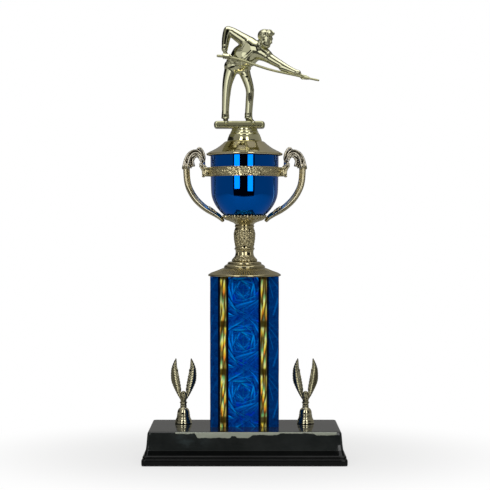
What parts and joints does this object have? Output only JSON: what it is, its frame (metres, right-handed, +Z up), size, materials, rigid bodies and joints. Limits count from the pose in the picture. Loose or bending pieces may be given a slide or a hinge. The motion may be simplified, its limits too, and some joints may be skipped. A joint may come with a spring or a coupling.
{
  "type": "billiards trophy",
  "caption": "Tiered billiards trophy: a gold cue-player figure on a lidded, handled blue cup, on a foil-wrapped column and a stepped black base with winged side trims.",
  "frame": {"origin": "centre of the underside of the base, on the felt", "axes": "+Z up the column, +Y towards the back, +X to the right when seen from the front; the front faces -Y"},
  "size_m": [0.2042, 0.1116, 0.4399],
  "materials": {
    "gold_bright": "bright gold metallised skin on moulded plastic, mirror-like, for the figure and its platform",
    "gold_plated": "champagne gold metallised skin on moulded plastic, slightly softer, for the cup's mounts, lid and trims",
    "blue_bowl": "bright blue anodised spun aluminium, mirror-like",
    "blue_foil": "holographic blue foil film with a rosette pattern, and black-edged gold pin stripes at each side",
    "black_plastic": "gloss black moulded plastic",
    "weight_iron": "rough cast, painted dark",
    "felt": "black felt pad",
    "paperboard": "spiral-wound paperboard",
    "plug_plastic": "matt black moulded plug",
    "zinc_steel": "zinc-plated steel"
  },
  "bodies": {
    "stand": {"base_felt": "felt", "base_shell": "black_plastic", "base_weight": "weight_iron", "tie_rod": "zinc_steel", "tie_rod_bottom_washer": "zinc_steel", "tie_rod_bottom_nut": "zinc_steel", "tie_rod_top_washer": "zinc_steel", "tie_rod_top_nut": "zinc_steel", "column_core": "paperboard", "column_wrap": "blue_foil", "column_bottom_plug": "plug_plastic", "column_top_plug": "plug_plastic", "cup_foot": "gold_plated", "cup_stem": "gold_plated", "cup_calyx": "gold_plated", "cup_bowl": "blue_bowl", "cup_band": "gold_plated", "left_handle": "gold_plated", "right_handle": "gold_plated"},
    "lid": {"cup_lid": "gold_plated"},
    "figure": {"figure_pedestal": "gold_plated", "figure_platform": "gold_bright", "player_figure": "gold_bright", "billiard_cue": "gold_bright", "figure_stud": "zinc_steel", "figure_washer": "zinc_steel", "figure_nut": "zinc_steel"},
    "left_trim": {"left_trim_riser": "gold_plated", "left_trim_wings": "gold_plated", "left_trim_stud": "zinc_steel", "left_trim_washer": "zinc_steel", "left_trim_nut": "zinc_steel"},
    "right_trim": {"right_trim_riser": "gold_plated", "right_trim_wings": "gold_plated", "right_trim_stud": "zinc_steel", "right_trim_washer": "zinc_steel", "right_trim_nut": "zinc_steel"}
  },
  "joints": [
    {"name": "lid_lift", "type": "slide", "parent": "stand", "child": "lid", "axis": [0, 0, 1], "range_m": [0, 0.05]},
    {"name": "figure_swivel", "type": "hinge", "parent": "lid", "child": "figure", "pos_m": [0, 0.005, 0.3237], "axis": [0, 0, 1], "continuous": true},
    {"name": "left_trim_swivel", "type": "hinge", "parent": "stand", "child": "left_trim", "pos_m": [-0.063, 0.017, 0.0334], "axis": [0, 0, 1], "continuous": true},
    {"name": "right_trim_swivel", "type": "hinge", "parent": "stand", "child": "right_trim", "pos_m": [0.063, 0.017, 0.0334], "axis": [0, 0, 1], "continuous": true}
  ]
}
